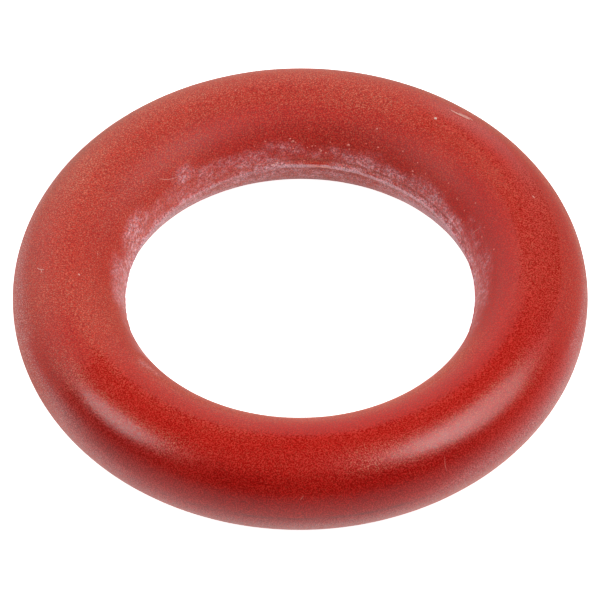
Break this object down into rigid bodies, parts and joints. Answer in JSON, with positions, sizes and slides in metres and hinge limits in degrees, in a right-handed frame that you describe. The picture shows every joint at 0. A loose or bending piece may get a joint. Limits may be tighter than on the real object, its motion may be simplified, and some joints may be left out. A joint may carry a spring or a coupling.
{
  "type": "silicone o-ring",
  "caption": "Round-section silicone sealing ring with a low mould ridge round its inside, squeezed in a groove between a shaft and its housing to stop leaks.",
  "frame": {"origin": "centre of the ring, on its axis and its middle plane", "axes": "+Z along the ring's axis, square to the plane it lies in; +X and +Y are any two square directions in that plane"},
  "size_m": [0.018, 0.018, 0.0034],
  "materials": {
    "red_silicone": "satin"
  },
  "bodies": {
    "root": {"o_ring": "red_silicone"}
  },
  "joints": []
}
